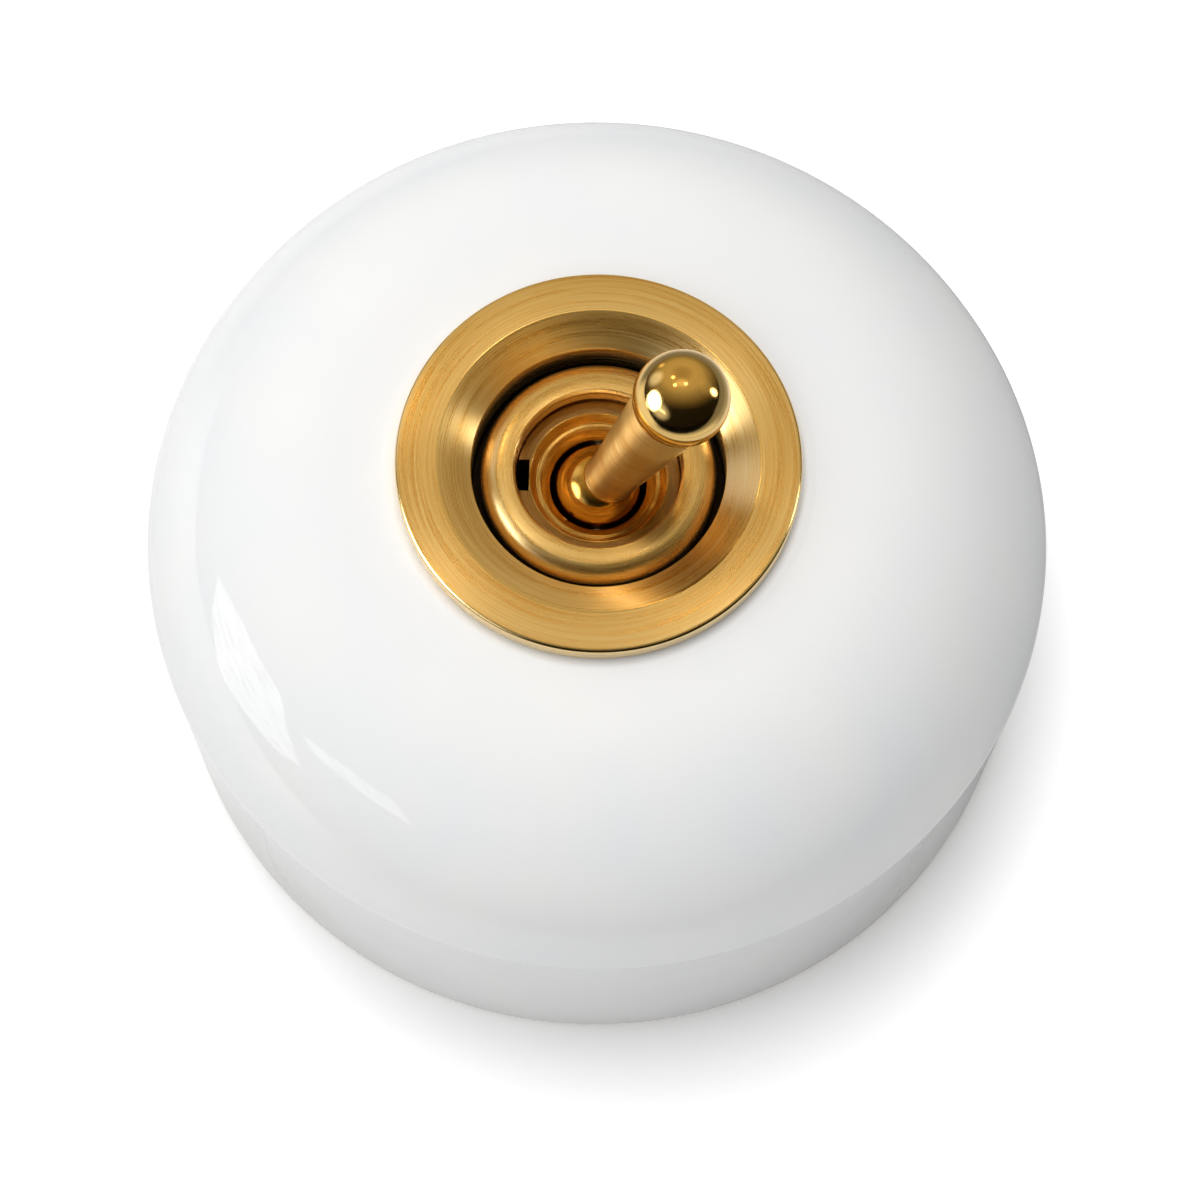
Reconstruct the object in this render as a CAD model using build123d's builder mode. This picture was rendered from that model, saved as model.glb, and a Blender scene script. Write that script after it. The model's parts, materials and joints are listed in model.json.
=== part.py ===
from build123d import *
from math import atan, cos, degrees, radians, sin, sqrt, tan
import os

# Surface-mounted dolly light switch, lying on its back: a round glazed porcelain cover,
# a brass bezel and ring nut, a ball-ended brass dolly, and behind them a two-way rocker
# mechanism on a porcelain base. Millimetres. The origin is the centre of the back, +Z
# points out of the wall, and the dolly swings along X.

os.makedirs("parts", exist_ok=True)

# Porcelain cover
cover_r = 40.0
crease_z = 24.5
crease_angle = 16.0
shoulder_semi_r = 20.0
shoulder_semi_z = 19.62
dome_edge_slope = 4.0
cover_wall = 5.0
cover_top_t = 6.0
cover_foot_edge = 0.6
cavity_corner_r = 11.0
cavity_corner_z = 12.0

# Bezel ring
bezel_r = 17.15
bezel_flange_h = 1.8
bezel_edge = 0.3
bezel_flat_w = 3.2
bezel_cone_depth = 1.7
bezel_bore_r = 10.82
bezel_spigot_wall = 1.4
bezel_spigot_gap = 0.3
bezel_spigot_lift = 0.2
bezel_lip_t = 1.2
bezel_seat_margin = 0.15

# Ring nut
nut_r = 10.1
nut_h = 4.2
nut_dome_drop = 1.7
nut_dome_arc = 60.0
nut_land_r = 8.55
nut_foot_chamfer = 0.3
thread_clearance = 0.05

# Threaded bush
bush_r = 7.0
bush_below_nut = 2.0
bush_mouth_r = 5.85
bush_step_w = 0.35
bush_cone_h = 0.9
bush_seat_r = 4.13
bush_seat_h = 0.35
bush_flange_r = 9.5
bush_flange_t = 2.0
bush_foot_flare = 0.8
keyway_w = 2.85
keyway_depth = 1.1

# Cover washer and lock nut
washer_t = 1.5
washer_w = 3.6
lock_nut_flats = 19.0
lock_nut_gap = 0.3

# Dolly, its pin, plunger and spring
dolly_tilt = 17.5
ball_below_bush_top = 3.2
pivot_ball_r = 3.96
ball_gap = 0.49
stalk_foot_r = 2.15
stalk_head_r = 3.3
tip_distance = 21.6
tip_ball_r = 3.95
stalk_fillet = 0.6
tail_r = 2.3
tail_length = 8.0
tail_bore_top = 2.0
pin_r = 0.8
pin_inset = 0.05
running_gap = 0.05
plunger_r = 1.5
plunger_top = 5.1
plunger_spigot_r = 0.7
plunger_spigot_h = 0.8
spring_wire_r = 0.15
spring_mean_r = 1.15
spring_turns = 5
spring_end_gap = 0.05

# Bridge
bridge_t = 1.5
bridge_half_l = 19.0
bridge_w = 28.0
leg_w = 12.0
foot_l = 9.0
bend_r = 1.0
earth_foot_w = 9.0

# Porcelain base
base_t = 8.0
base_cover_gap = 0.6
base_edge = 0.8
wall_screw_spacing = 50.8
wall_screw_hole_r = 2.25
wall_screw_head_r = 4.5
wall_screw_head_depth = 2.0
cable_entry_r = 6.5
cable_entry_x = -13.0
cable_entry_y = 18.0
back_recess_depth = 3.5
head_side_gap = 0.4
screw_hole_gap = 0.1

# Rocker
rocker_z = 18.0
nose_height = 5.6
nose_gap = 0.3
saddle_half_l = 4.2
saddle_w = 6.0
saddle_lip_h = 5.3
saddle_foot = 2.2
axle_r = 1.0
axle_end = 0.7
lug_gap = 0.05
lug_t = 1.0
lug_half_l = 2.4
blade_half_l = 12.2
blade_t = 1.0
tip_r = 1.5
tip_h = 0.9
tip_x = 10.5

# Fixed contacts
strip_t = 1.0
strip_w = 6.0
shelf_end_y = 3.0
riser_y = -5.0
fixed_tip_r = 2.0
fixed_tip_h = 0.8
closed_gap = 0.15
ear_gap = 0.45
ear_t = 1.2
ear_half_l = 2.6
common_plate_half_w = 4.0
common_arm_y = 6.6

# Terminals and screws
terminal_x = 10.0
terminal_y = 20.0
block_w = 8.0
block_l = 9.0
block_h = 10.0
block_edge = 0.4
wire_hole_r = 1.7
wire_hole_h = 4.5
clamp_screw_r = 1.7
clamp_head_r = 3.0
clamp_head_h = 2.2
wire_gap = 0.3
block_screw_r = 1.5
block_screw_head_r = 2.8
block_screw_head_h = 2.0
block_screw_grip = 2.5
bridge_screw_r = 2.0
bridge_screw_head_r = 3.7
bridge_screw_head_h = 2.6
bridge_nut_flats = 7.0
bridge_nut_h = 3.0
bridge_screw_end = 0.8
slot_w = 0.9
slot_depth = 0.9
head_edge = 0.3

# The shoulder is an elliptical arc that leaves the wall at the crease and runs into a
# shallow spherical dome; under the bezel the porcelain is ground flat.
crease_t = atan(shoulder_semi_z * tan(radians(crease_angle)) / shoulder_semi_r)
shoulder_cr = cover_r - shoulder_semi_r * cos(crease_t)
shoulder_cz = crease_z - shoulder_semi_z * sin(crease_t)
dome_t = radians(90) - atan(shoulder_semi_r * tan(radians(dome_edge_slope)) / shoulder_semi_z)
dome_edge_r = shoulder_cr + shoulder_semi_r * cos(dome_t)
dome_edge_z = shoulder_cz + shoulder_semi_z * sin(dome_t)
dome_r = dome_edge_r / sin(radians(dome_edge_slope))
dome_cz = dome_edge_z - dome_r * cos(radians(dome_edge_slope))
seat_r = bezel_r + bezel_seat_margin
seat_z = dome_cz + sqrt(dome_r**2 - seat_r**2)
cavity_r = cover_r - cover_wall
cavity_z = seat_z - cover_top_t

# The stack under the bezel, from the top down.
bezel_top_z = seat_z + bezel_flange_h
spigot_r = bezel_bore_r + bezel_spigot_wall
cover_hole_r = spigot_r + bezel_spigot_gap
spigot_z = cavity_z + bezel_spigot_lift
lip_z = spigot_z + bezel_lip_t
nut_top_z = lip_z + nut_h
bush_top_z = nut_top_z - bush_below_nut
bridge_top_z = cavity_z - washer_t
bridge_under_z = bridge_top_z - bridge_t
bush_foot_z = bridge_under_z - bush_flange_t
lock_nut_corner_r = lock_nut_flats / sqrt(3)
washer_in_r = lock_nut_corner_r + lock_nut_gap
washer_out_r = washer_in_r + washer_w
bore_r = pivot_ball_r + ball_gap
thread_bore_r = bush_r + thread_clearance
pivot_z = bush_top_z - ball_below_bush_top
pivot = Vector(0, 0, pivot_z)

# The dolly's own plane: its first direction is across the stalk, its second along it.
tilt = radians(dolly_tilt)
dolly_dir = Vector(sin(tilt), 0, cos(tilt))
dolly_axis = Axis(pivot, dolly_dir)
dolly_plane = Plane(origin=pivot, x_dir=(cos(tilt), 0, -sin(tilt)), z_dir=(0, -1, 0))

# The rocker turns half as far as the dolly, the other way. Its saddle is an arc that
# stays clear of the plunger's round nose at both ends and in the middle of the swing.
rocker_tilt = tilt / 2
rocker_axis_point = Vector(0, 0, rocker_z)
rocker_plane = Plane(
    origin=rocker_axis_point,
    x_dir=(cos(rocker_tilt), 0, sin(rocker_tilt)),
    z_dir=(0, -1, 0),
)
nose_centre = pivot_z - rocker_z - nose_height
nose_x = -nose_centre * sin(tilt)
nose_z = pivot_z - rocker_z - nose_centre * cos(tilt)
nose_end_x = nose_x * cos(rocker_tilt) + nose_z * sin(rocker_tilt)
nose_end_z = nose_z * cos(rocker_tilt) - nose_x * sin(rocker_tilt)
nose_rise = nose_end_z - nose_height
nose_path_r = (nose_end_x**2 + nose_rise**2) / (2 * nose_rise)
saddle_r = nose_path_r + plunger_r + nose_gap
saddle_cz = nose_height + nose_path_r
blade_top = -saddle_foot
blade_under = blade_top - blade_t
tip_foot = blade_under - tip_h
lug_out_y = saddle_w / 2 + lug_gap + lug_t
ear_in_y = lug_out_y + ear_gap
ear_out_y = ear_in_y + ear_t

# The fixed contact sits where the moving tip comes down.
closed_x = tip_x * cos(rocker_tilt) + tip_foot * sin(rocker_tilt)
closed_z = rocker_z - tip_x * sin(rocker_tilt) + tip_foot * cos(rocker_tilt) - closed_gap
shelf_z = closed_z - fixed_tip_h
strip_top_z = base_t + strip_t
base_r = cavity_r - base_cover_gap
bridge_hole_x = bridge_half_l + foot_l / 2
earth_y = leg_w / 2 + earth_foot_w / 2
block_end_y = terminal_y + block_l / 2

# Each terminal: name, place, and the height its block stands at.
terminals = [
    ("left", -terminal_x, -terminal_y, strip_top_z),
    ("right", terminal_x, -terminal_y, strip_top_z),
    ("common", terminal_x, terminal_y, strip_top_z),
    ("earth", bridge_hole_x, earth_y, base_t + bridge_t),
]
sides = [("left", -1), ("right", 1)]

# Porcelain cover
with BuildPart() as porcelain_cover:
    with BuildSketch(Plane.XZ):
        with BuildLine():
            shoulder = EllipticalCenterArc(
                (shoulder_cr, shoulder_cz),
                shoulder_semi_r,
                shoulder_semi_z,
                start_angle=degrees(crease_t),
                arc_size=degrees(dome_t - crease_t),
            )
            dome = TangentArc(shoulder @ 1, (seat_r, seat_z), tangent=shoulder % 1)
            corner = EllipticalCenterArc(
                (cavity_r - cavity_corner_r, cavity_z - cavity_corner_z),
                cavity_corner_r,
                cavity_corner_z,
                arc_size=90,
            )
            Polyline(dome @ 1, (cover_hole_r, seat_z), (cover_hole_r, cavity_z), corner @ 1)
            Polyline(corner @ 0, (cavity_r, 0), (cover_r, 0), shoulder @ 0)
        make_face()
    revolve(axis=Axis.Z)
    foot_edges = porcelain_cover.edges().filter_by(GeomType.CIRCLE).group_by(Axis.Z)[0]
    fillet(foot_edges, cover_foot_edge)
porcelain_cover.part.label = "porcelain_cover"
export_step(porcelain_cover.part, "parts/porcelain_cover.step")

# Bezel ring: flange with a wide countersink, and a cup that drops through the cover
with BuildPart() as bezel_ring:
    with BuildSketch(Plane.XZ):
        with BuildLine():
            cone_top_r = bezel_r - bezel_edge - bezel_flat_w
            Polyline(
                (bezel_r, seat_z),
                (bezel_r, bezel_top_z),
                (cone_top_r, bezel_top_z),
                (bezel_bore_r, bezel_top_z - bezel_cone_depth),
                (bezel_bore_r, lip_z),
                (thread_bore_r, lip_z),
                (thread_bore_r, spigot_z),
                (spigot_r, spigot_z),
                (spigot_r, seat_z),
                close=True,
            )
        make_face()
    revolve(axis=Axis.Z)
    rim = bezel_ring.edges().filter_by(GeomType.CIRCLE).group_by(SortBy.RADIUS)[-1]
    fillet(rim.sort_by(Axis.Z)[-1], bezel_edge)
bezel_ring.part.label = "bezel_ring"
export_step(bezel_ring.part, "parts/bezel_ring.step")

# Ring nut: turned, with a domed flank up to a flat land
with BuildPart() as ring_nut:
    with BuildSketch(Plane.XZ):
        with BuildLine():
            flank_semi_r = (nut_r - nut_land_r) / (1 - cos(radians(nut_dome_arc)))
            flank = EllipticalCenterArc(
                (nut_r - flank_semi_r, nut_top_z - nut_dome_drop),
                flank_semi_r,
                nut_dome_drop / sin(radians(nut_dome_arc)),
                arc_size=nut_dome_arc,
            )
            Polyline(
                flank @ 1,
                (thread_bore_r, nut_top_z),
                (thread_bore_r, lip_z),
                (nut_r - nut_foot_chamfer, lip_z),
                (nut_r, lip_z + nut_foot_chamfer),
                flank @ 0,
            )
        make_face()
    revolve(axis=Axis.Z)
ring_nut.part.label = "ring_nut"
export_step(ring_nut.part, "parts/ring_nut.step")

# Threaded bush: stepped countersink over the ball's seat, flange below the bridge,
# a keyway down its left side and a cross hole for the dolly's pin
with BuildPart() as threaded_bush:
    with BuildSketch(Plane.XZ):
        with BuildLine():
            step_r = (bush_mouth_r + bore_r) / 2
            step_z = bush_top_z - bush_cone_h
            seat_top_z = step_z - bush_cone_h
            seat_foot_z = seat_top_z - bush_seat_h
            Polyline(
                (bush_r, bush_top_z),
                (bush_mouth_r, bush_top_z),
                (step_r + bush_step_w / 2, step_z),
                (step_r - bush_step_w / 2, step_z),
                (bush_seat_r, seat_top_z),
                (bush_seat_r, seat_foot_z),
                (bore_r, seat_foot_z - bore_r + bush_seat_r),
                (bore_r, bush_foot_z + bush_foot_flare),
                (bore_r + bush_foot_flare, bush_foot_z),
                (bush_flange_r, bush_foot_z),
                (bush_flange_r, bridge_under_z),
                (bush_r, bridge_under_z),
                close=True,
            )
        make_face()
    revolve(axis=Axis.Z)
    with BuildSketch(Plane.XY.offset(bridge_under_z)):
        with Locations((-bush_r, 0)):
            Rectangle(2 * keyway_depth, keyway_w)
    extrude(amount=bush_top_z - bridge_under_z, mode=Mode.SUBTRACT)
    with BuildSketch(Plane.XZ):
        with Locations((0, pivot_z)):
            Circle(pin_r)
    extrude(amount=2 * bush_r, both=True, mode=Mode.SUBTRACT)
threaded_bush.part.label = "threaded_bush"
export_step(threaded_bush.part, "parts/threaded_bush.step")

# Lock nut that clamps the bush to the bridge
with BuildPart() as bush_lock_nut:
    with BuildSketch(Plane.XY.offset(bridge_top_z)):
        RegularPolygon(lock_nut_corner_r, 6)
        Circle(thread_bore_r, mode=Mode.SUBTRACT)
    extrude(amount=washer_t)
bush_lock_nut.part.label = "bush_lock_nut"
export_step(bush_lock_nut.part, "parts/bush_lock_nut.step")

# Fibre washer between the bridge and the cover
with BuildPart() as cover_washer:
    with BuildSketch(Plane.XY.offset(bridge_top_z)):
        Circle(washer_out_r)
        Circle(washer_in_r, mode=Mode.SUBTRACT)
    extrude(amount=washer_t)
cover_washer.part.label = "cover_washer"
export_step(cover_washer.part, "parts/cover_washer.step")

# Dolly: one turned piece, from the bored tail through the pivot ball to the ball tip
with BuildPart() as dolly:
    with BuildSketch(dolly_plane):
        with BuildLine():
            tail_join = -sqrt(pivot_ball_r**2 - tail_r**2)
            foot_join = sqrt(pivot_ball_r**2 - stalk_foot_r**2)
            head_join = tip_distance - sqrt(tip_ball_r**2 - stalk_head_r**2)
            tail_bore_r = plunger_r + running_gap
            ThreePointArc((tail_r, tail_join), (pivot_ball_r, 0), (stalk_foot_r, foot_join))
            Line((stalk_foot_r, foot_join), (stalk_head_r, head_join))
            ThreePointArc(
                (stalk_head_r, head_join),
                (tip_ball_r, tip_distance),
                (0, tip_distance + tip_ball_r),
            )
            Polyline(
                (0, tip_distance + tip_ball_r),
                (0, -tail_bore_top),
                (tail_bore_r, -tail_bore_top),
                (tail_bore_r, -tail_length),
                (tail_r, -tail_length),
                (tail_r, tail_join),
            )
        make_face()
    revolve(axis=dolly_axis)
    with BuildSketch(Plane.XZ):
        with Locations((0, pivot_z)):
            Circle(pin_r + running_gap)
    extrude(amount=2 * pivot_ball_r, both=True, mode=Mode.SUBTRACT)
    stalk_foot = dolly.edges().filter_by(GeomType.CIRCLE).filter_by(
        lambda edge: abs(edge.radius - stalk_foot_r) < stalk_foot_r * 0.001
    )
    fillet(stalk_foot, stalk_fillet)
dolly.part.label = "dolly"
export_step(dolly.part, "parts/dolly.step")

# Pivot pin, held in the bush and passing through the dolly's ball
with BuildPart() as pivot_pin:
    with BuildSketch(Plane.XZ):
        with Locations((0, pivot_z)):
            Circle(pin_r)
    extrude(amount=bush_r - pin_inset, both=True)
pivot_pin.part.label = "pivot_pin"
export_step(pivot_pin.part, "parts/pivot_pin.step")

# Plunger: round-nosed, sliding in the tail's bore
with BuildPart() as plunger:
    with BuildSketch(dolly_plane):
        with BuildLine():
            nose = CenterArc((0, -nose_centre), plunger_r, 270, 90)
            Polyline(
                nose @ 1,
                (plunger_r, -plunger_top),
                (plunger_spigot_r, -plunger_top),
                (plunger_spigot_r, plunger_spigot_h - plunger_top),
                (0, plunger_spigot_h - plunger_top),
                nose @ 0,
            )
        make_face()
    revolve(axis=dolly_axis)
plunger.part.label = "plunger"
export_step(plunger.part, "parts/plunger.step")

# Plunger spring: a helix between the bore's end and the plunger's shoulder
with BuildPart() as plunger_spring:
    with BuildLine():
        spring_top = tail_bore_top + spring_end_gap + spring_wire_r
        spring_foot = plunger_top - spring_end_gap - spring_wire_r
        coil_h = spring_foot - spring_top
        coil = Helix(
            pitch=coil_h / spring_turns,
            height=coil_h,
            radius=spring_mean_r,
            center=pivot - dolly_dir * spring_foot,
            direction=dolly_dir,
        )
    with BuildSketch(Plane(origin=coil @ 0, z_dir=coil % 0)):
        Circle(spring_wire_r)
    sweep(path=coil, is_frenet=True)
plunger_spring.part.label = "plunger_spring"
export_step(plunger_spring.part, "parts/plunger_spring.step")

# Bridge: a folded brass strap over the rocker, with a wide top and two narrow legs,
# and a wing on its right foot for the earth terminal
with BuildPart() as bridge:
    with BuildSketch(Plane.XZ):
        with BuildLine():
            foot_x = bridge_half_l + foot_l
            foot_top_z = base_t + bridge_t
            inner_x = bridge_half_l - bridge_t
            Polyline(
                (-foot_x, base_t),
                (-inner_x, base_t),
                (-inner_x, bridge_under_z),
                (inner_x, bridge_under_z),
                (inner_x, base_t),
                (foot_x, base_t),
                (foot_x, foot_top_z),
                (bridge_half_l, foot_top_z),
                (bridge_half_l, bridge_top_z),
                (-bridge_half_l, bridge_top_z),
                (-bridge_half_l, foot_top_z),
                (-foot_x, foot_top_z),
                close=True,
            )
        make_face()
    extrude(amount=leg_w / 2, both=True)
    bends = bridge.edges().filter_by(Axis.Y).filter_by_position(
        Axis.X, -bridge_half_l, bridge_half_l
    )
    outer_bends = bends.group_by(Axis.Z)[-1] + bends.group_by(Axis.Z)[0]
    fillet(outer_bends, bend_r)
    with BuildSketch(Plane.XY.offset(bridge_under_z)):
        Rectangle(2 * inner_x, bridge_w)
        fillet(vertices(), bend_r)
    extrude(amount=bridge_t)
    with BuildSketch(Plane.XY.offset(base_t)):
        with Locations((bridge_hole_x, earth_y)):
            Rectangle(foot_l, earth_foot_w)
    extrude(amount=bridge_t)
    with BuildSketch(Plane.XY.offset(base_t)):
        Circle(thread_bore_r)
        with Locations((-bridge_hole_x, 0), (bridge_hole_x, 0)):
            Circle(bridge_screw_r + screw_hole_gap)
        with Locations((bridge_hole_x, earth_y)):
            Circle(block_screw_r + screw_hole_gap)
    extrude(amount=bridge_top_z - base_t, mode=Mode.SUBTRACT)
bridge.part.label = "bridge"
export_step(bridge.part, "parts/bridge.step")

# Porcelain base: a disc inside the cover, with the wall screw holes and cable entry,
# and recesses in its back for the heads of the screws that hold the metalwork
with BuildPart() as base_plate:
    with BuildSketch():
        Circle(base_r)
    extrude(amount=base_t)
    fillet(base_plate.edges(), base_edge)
    with Locations((cable_entry_x, cable_entry_y, base_t)):
        Hole(cable_entry_r)
    with Locations((0, -wall_screw_spacing / 2, base_t), (0, wall_screw_spacing / 2, base_t)):
        CounterBoreHole(wall_screw_hole_r, wall_screw_head_r, wall_screw_head_depth)
    with BuildSketch():
        with Locations((-bridge_hole_x, 0), (bridge_hole_x, 0)):
            Circle(bridge_screw_head_r + head_side_gap)
        with Locations([(x, y) for name, x, y, stand in terminals]):
            Circle(block_screw_head_r + head_side_gap)
    extrude(amount=back_recess_depth, mode=Mode.SUBTRACT)
    with BuildSketch():
        with Locations((-bridge_hole_x, 0), (bridge_hole_x, 0)):
            Circle(bridge_screw_r + screw_hole_gap)
        with Locations([(x, y) for name, x, y, stand in terminals]):
            Circle(block_screw_r + screw_hole_gap)
    extrude(amount=base_t, mode=Mode.SUBTRACT)
base_plate.part.label = "base_plate"
export_step(base_plate.part, "parts/base_plate.step")

# Common contact: a folded brass bracket whose two ears carry the rocker's axle
with BuildPart() as common_contact:
    with BuildSketch(Plane.XY.offset(base_t)):
        with BuildLine():
            arm_in_x = terminal_x - common_plate_half_w
            arm_out_x = terminal_x + common_plate_half_w
            arm_end_y = common_arm_y + 2 * common_plate_half_w
            Polyline(
                (-common_plate_half_w, -ear_out_y),
                (common_plate_half_w, -ear_out_y),
                (common_plate_half_w, common_arm_y),
                (arm_out_x, common_arm_y),
                (arm_out_x, block_end_y),
                (arm_in_x, block_end_y),
                (arm_in_x, arm_end_y),
                (-common_plate_half_w, arm_end_y),
                close=True,
            )
        make_face()
        with Locations((terminal_x, terminal_y)):
            Circle(block_screw_r + screw_hole_gap, mode=Mode.SUBTRACT)
    extrude(amount=strip_t)
    for ear_y in (-ear_out_y, ear_in_y):
        with BuildSketch(Plane.XZ.offset(-ear_y)):
            with Locations((0, rocker_z)):
                Circle(ear_half_l)
            with Locations((0, (strip_top_z + rocker_z) / 2)):
                Rectangle(2 * ear_half_l, rocker_z - strip_top_z)
            with Locations((0, rocker_z)):
                Circle(axle_r, mode=Mode.SUBTRACT)
        extrude(amount=-ear_t)
common_contact.part.label = "common_contact"
export_step(common_contact.part, "parts/common_contact.step")

# Fixed contacts: a cranked brass strip under each line terminal, with a silver tip
for side, sign in sides:
    with BuildPart() as fixed_contact:
        with BuildSketch(Plane.YZ.offset(sign * terminal_x)):
            with BuildLine():
                Polyline(
                    (-block_end_y, base_t),
                    (riser_y + strip_t, base_t),
                    (riser_y + strip_t, shelf_z - strip_t),
                    (shelf_end_y, shelf_z - strip_t),
                    (shelf_end_y, shelf_z),
                    (riser_y, shelf_z),
                    (riser_y, strip_top_z),
                    (-block_end_y, strip_top_z),
                    close=True,
                )
            make_face()
        extrude(amount=strip_w / 2, both=True)
        with Locations((sign * terminal_x, -terminal_y, strip_top_z)):
            Hole(block_screw_r + screw_hole_gap)
    fixed_contact.part.label = f"fixed_contact_{side}"
    export_step(fixed_contact.part, f"parts/fixed_contact_{side}.step")

    with BuildPart() as fixed_tip:
        with BuildSketch(Plane.XY.offset(shelf_z)):
            with Locations((sign * closed_x, 0)):
                Circle(fixed_tip_r)
        extrude(amount=fixed_tip_h)
        fillet(fixed_tip.edges().group_by(Axis.Z)[-1], head_edge)
    fixed_tip.part.label = f"fixed_tip_{side}"
    export_step(fixed_tip.part, f"parts/fixed_tip_{side}.step")

# Rocker: the moving contact is a brass channel with two lugs on the axle
with BuildPart() as moving_contact:
    with BuildSketch(rocker_plane):
        with Locations((0, (blade_top + blade_under) / 2)):
            Rectangle(2 * blade_half_l, blade_t)
    extrude(amount=lug_out_y, both=True)
    with BuildSketch(rocker_plane):
        Circle(lug_half_l)
        with Locations((0, blade_top / 2)):
            Rectangle(2 * lug_half_l, -blade_top)
    extrude(amount=lug_out_y, both=True)
    with BuildSketch(rocker_plane):
        with Locations((0, (blade_top + lug_half_l) / 2)):
            Rectangle(2 * blade_half_l, lug_half_l - blade_top)
    extrude(amount=lug_out_y - lug_t, both=True, mode=Mode.SUBTRACT)
    with BuildSketch(rocker_plane):
        Circle(axle_r + running_gap)
    extrude(amount=lug_out_y, both=True, mode=Mode.SUBTRACT)
moving_contact.part.label = "moving_contact"
export_step(moving_contact.part, "parts/moving_contact.step")

# The moulded saddle that the plunger rides in, between the lugs
with BuildPart() as rocker_saddle:
    with BuildSketch(rocker_plane):
        with Locations((0, (saddle_lip_h + blade_top) / 2)):
            Rectangle(2 * saddle_half_l, saddle_lip_h - blade_top)
        with Locations((0, saddle_cz)):
            Circle(saddle_r, mode=Mode.SUBTRACT)
        Circle(axle_r + running_gap, mode=Mode.SUBTRACT)
    extrude(amount=saddle_w / 2, both=True)
rocker_saddle.part.label = "rocker_saddle"
export_step(rocker_saddle.part, "parts/rocker_saddle.step")

# Silver tips under the two ends of the blade, domed so that they roll on the fixed ones
for side, sign in sides:
    with BuildPart() as moving_tip:
        with BuildSketch(rocker_plane):
            with BuildLine():
                tip_dome = EllipticalCenterArc(
                    (sign * tip_x, blade_under), tip_r, tip_h, start_angle=270, arc_size=90
                )
                Polyline(tip_dome @ 1, (sign * tip_x, blade_under), tip_dome @ 0)
            make_face()
        tip_origin = rocker_plane.from_local_coords((sign * tip_x, 0, 0))
        revolve(axis=Axis(tip_origin, rocker_plane.y_dir))
    moving_tip.part.label = f"moving_tip_{side}"
    export_step(moving_tip.part, f"parts/moving_tip_{side}.step")

# Axle that joins the rocker to the ears
with BuildPart() as rocker_axle:
    with BuildSketch(Plane.XZ):
        with Locations((0, rocker_z)):
            Circle(axle_r)
    extrude(amount=ear_out_y + axle_end, both=True)
rocker_axle.part.label = "rocker_axle"
export_step(rocker_axle.part, "parts/rocker_axle.step")

# Terminal blocks, with the clamp screw in each and the screw that holds it to the base
for name, x, y, stand in terminals:
    block_top = stand + block_h
    wire_z = stand + wire_hole_h
    wire_top = wire_z + wire_hole_r
    with BuildPart() as terminal_block:
        with BuildSketch(Plane.XY.offset(stand)):
            with Locations((x, y)):
                RectangleRounded(block_w, block_l, block_edge)
        extrude(amount=block_h)
        with BuildSketch(Plane.XZ.offset(-y)):
            with Locations((x, wire_z)):
                Circle(wire_hole_r)
        extrude(amount=block_l, both=True, mode=Mode.SUBTRACT)
        with BuildSketch(Plane.XY.offset(wire_z)):
            with Locations((x, y)):
                Circle(clamp_screw_r)
        extrude(amount=block_h, mode=Mode.SUBTRACT)
        with BuildSketch(Plane.XY.offset(stand)):
            with Locations((x, y)):
                Circle(block_screw_r)
        extrude(amount=block_screw_grip, mode=Mode.SUBTRACT)
    terminal_block.part.label = f"terminal_{name}"
    export_step(terminal_block.part, f"parts/terminal_{name}.step")

    with BuildPart() as clamp_screw:
        with BuildSketch(Plane.XY.offset(block_top)):
            with Locations((x, y)):
                Circle(clamp_head_r)
        extrude(amount=clamp_head_h)
        fillet(clamp_screw.edges().group_by(Axis.Z)[-1], head_edge)
        with BuildSketch(Plane.XY.offset(block_top + clamp_head_h)):
            with Locations((x, y)):
                Rectangle(slot_w, 2 * clamp_head_r)
        extrude(amount=-slot_depth, mode=Mode.SUBTRACT)
        with BuildSketch(Plane.XY.offset(block_top)):
            with Locations((x, y)):
                Circle(clamp_screw_r)
        extrude(amount=wire_top + wire_gap - block_top)
    clamp_screw.part.label = f"clamp_screw_{name}"
    export_step(clamp_screw.part, f"parts/clamp_screw_{name}.step")

    with BuildPart() as block_screw:
        with BuildSketch(Plane.XY.offset(back_recess_depth)):
            with Locations((x, y)):
                Circle(block_screw_head_r)
        extrude(amount=-block_screw_head_h)
        fillet(block_screw.edges().group_by(Axis.Z)[0], head_edge)
        with BuildSketch(Plane.XY.offset(back_recess_depth - block_screw_head_h)):
            with Locations((x, y)):
                Rectangle(slot_w, 2 * block_screw_head_r)
        extrude(amount=slot_depth, mode=Mode.SUBTRACT)
        with BuildSketch(Plane.XY.offset(back_recess_depth)):
            with Locations((x, y)):
                Circle(block_screw_r)
        extrude(amount=stand + block_screw_grip - back_recess_depth)
    block_screw.part.label = f"block_screw_{name}"
    export_step(block_screw.part, f"parts/block_screw_{name}.step")

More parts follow.
